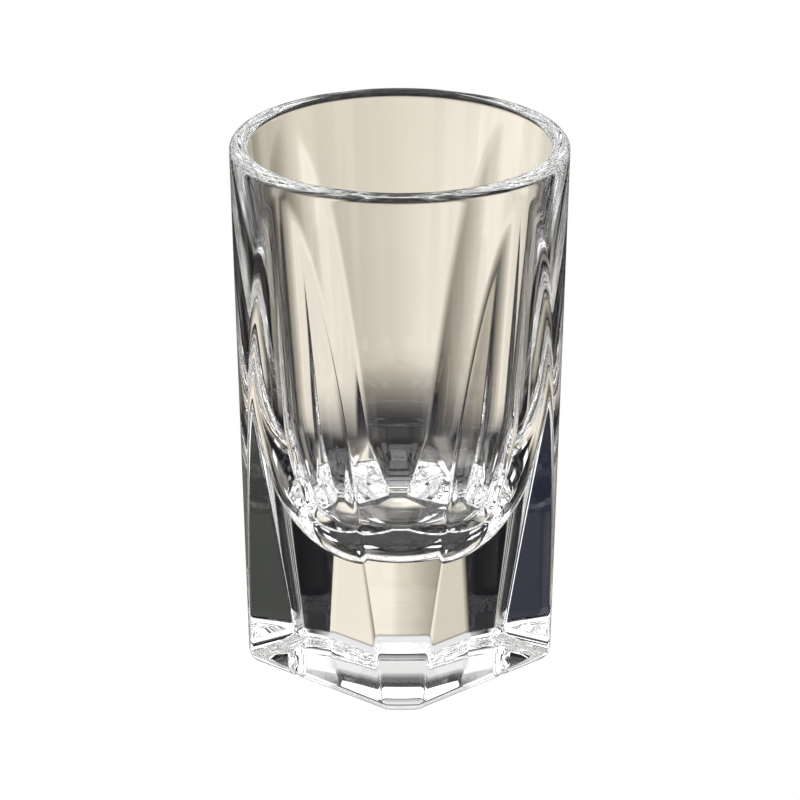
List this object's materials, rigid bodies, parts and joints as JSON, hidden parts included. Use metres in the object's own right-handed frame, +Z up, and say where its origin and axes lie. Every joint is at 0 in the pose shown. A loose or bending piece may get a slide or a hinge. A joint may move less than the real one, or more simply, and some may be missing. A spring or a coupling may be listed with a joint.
{
  "type": "shot glass",
  "caption": "Heavy-base shot glass: round lip tapering to a square foot with rounded corners, deep cup with a rounded floor, thick solid base, plain clear glass.",
  "frame": {"origin": "on the axis of the cup, level with the flat ring the foot rests on", "axes": "+Z up along the axis of the cup; the flat sides face +X, +Y, -X and -Y, and the rounded corners point along the diagonals"},
  "size_m": [0.048, 0.048, 0.0785],
  "materials": {
    "clear_glass": "fire-polished gloss"
  },
  "bodies": {
    "root": {"glass_body": "clear_glass"}
  },
  "joints": []
}
